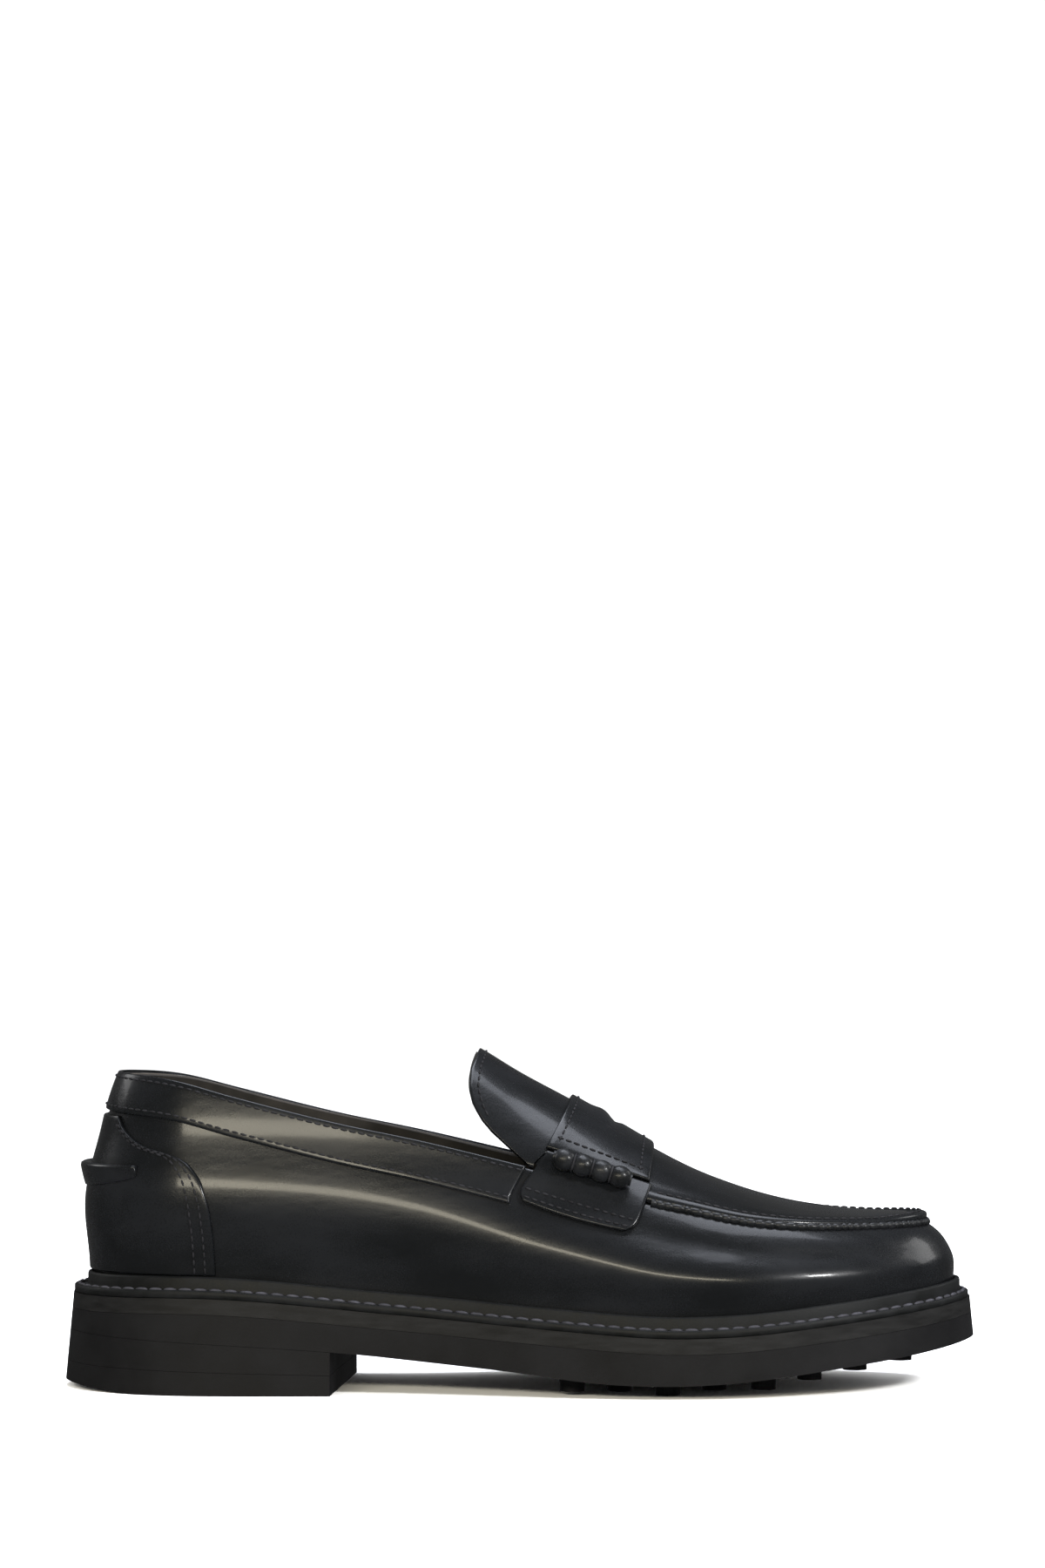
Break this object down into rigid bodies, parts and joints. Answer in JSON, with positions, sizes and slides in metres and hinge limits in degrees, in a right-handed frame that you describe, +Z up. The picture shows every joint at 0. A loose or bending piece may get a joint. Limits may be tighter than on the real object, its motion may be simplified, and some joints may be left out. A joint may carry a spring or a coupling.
{
  "type": "penny loafer",
  "caption": "Slip-on moccasin shoe for the right foot with a penny saddle strap, beef rolls, storm welt, block heel and studded rubber sole.",
  "frame": {"origin": "on the ground under the middle of the sole, at the bottom centre of the bounding box", "axes": "+X to the toe, +Y to the inner (medial) side of the right foot, +Z up"},
  "size_m": [0.2999, 0.1082, 0.1112],
  "materials": {
    "upper_leather": "brushed-off calf, high shine",
    "saddle_leather": "brushed-off calf, high shine",
    "roll_leather": "brushed-off calf, high shine",
    "lining_leather": "drum-dyed lining leather, matt",
    "welt_leather": "dyed welt leather, satin",
    "edge_leather": "dyed and waxed edge",
    "stiffener": "thermoplastic stiffener board",
    "insole_leather": "natural vegetable-tanned leather",
    "cork": "ground cork in binder",
    "foam": "open-cell latex foam",
    "rubber": "moulded rubber, matt",
    "thread": "waxed thread",
    "shank_steel": "tempered steel",
    "nail_brass": "drawn wire"
  },
  "bodies": {
    "shoe": {"vamp_wall": "upper_leather", "apron": "upper_leather", "tongue_root": "upper_leather", "counter_cover": "upper_leather", "collar_band": "upper_leather", "heel_tab": "upper_leather", "saddle_strap": "saddle_leather", "saddle_tab_lateral": "saddle_leather", "saddle_tab_medial": "saddle_leather", "beef_roll_lateral": "roll_leather", "beef_roll_medial": "roll_leather", "apron_lining": "lining_leather", "vamp_lining": "lining_leather", "quarter_lining": "lining_leather", "saddle_lining": "lining_leather", "sock_liner": "lining_leather", "storm_welt": "welt_leather", "midsole": "edge_leather", "heel_counter": "stiffener", "toe_puff": "stiffener", "side_stay_lateral": "stiffener", "side_stay_medial": "stiffener", "insole_board": "insole_leather", "insole_rib": "insole_leather", "cork_filler": "cork", "heel_pad": "foam", "outsole": "rubber", "heel_lift": "rubber", "heel_top_piece": "rubber", "welt_thread": "thread", "roll_threads_lateral": "thread", "roll_threads_medial": "thread", "shank": "shank_steel", "heel_nails": "nail_brass"},
    "tongue_flap": {"tongue": "upper_leather", "tongue_lining": "lining_leather"}
  },
  "joints": [
    {"name": "tongue_lift", "type": "hinge", "parent": "shoe", "child": "tongue_flap", "pos_m": [0.0186, 0, 0.0936], "axis": [0, 1, 0], "range_deg": [0, 14]}
  ]
}
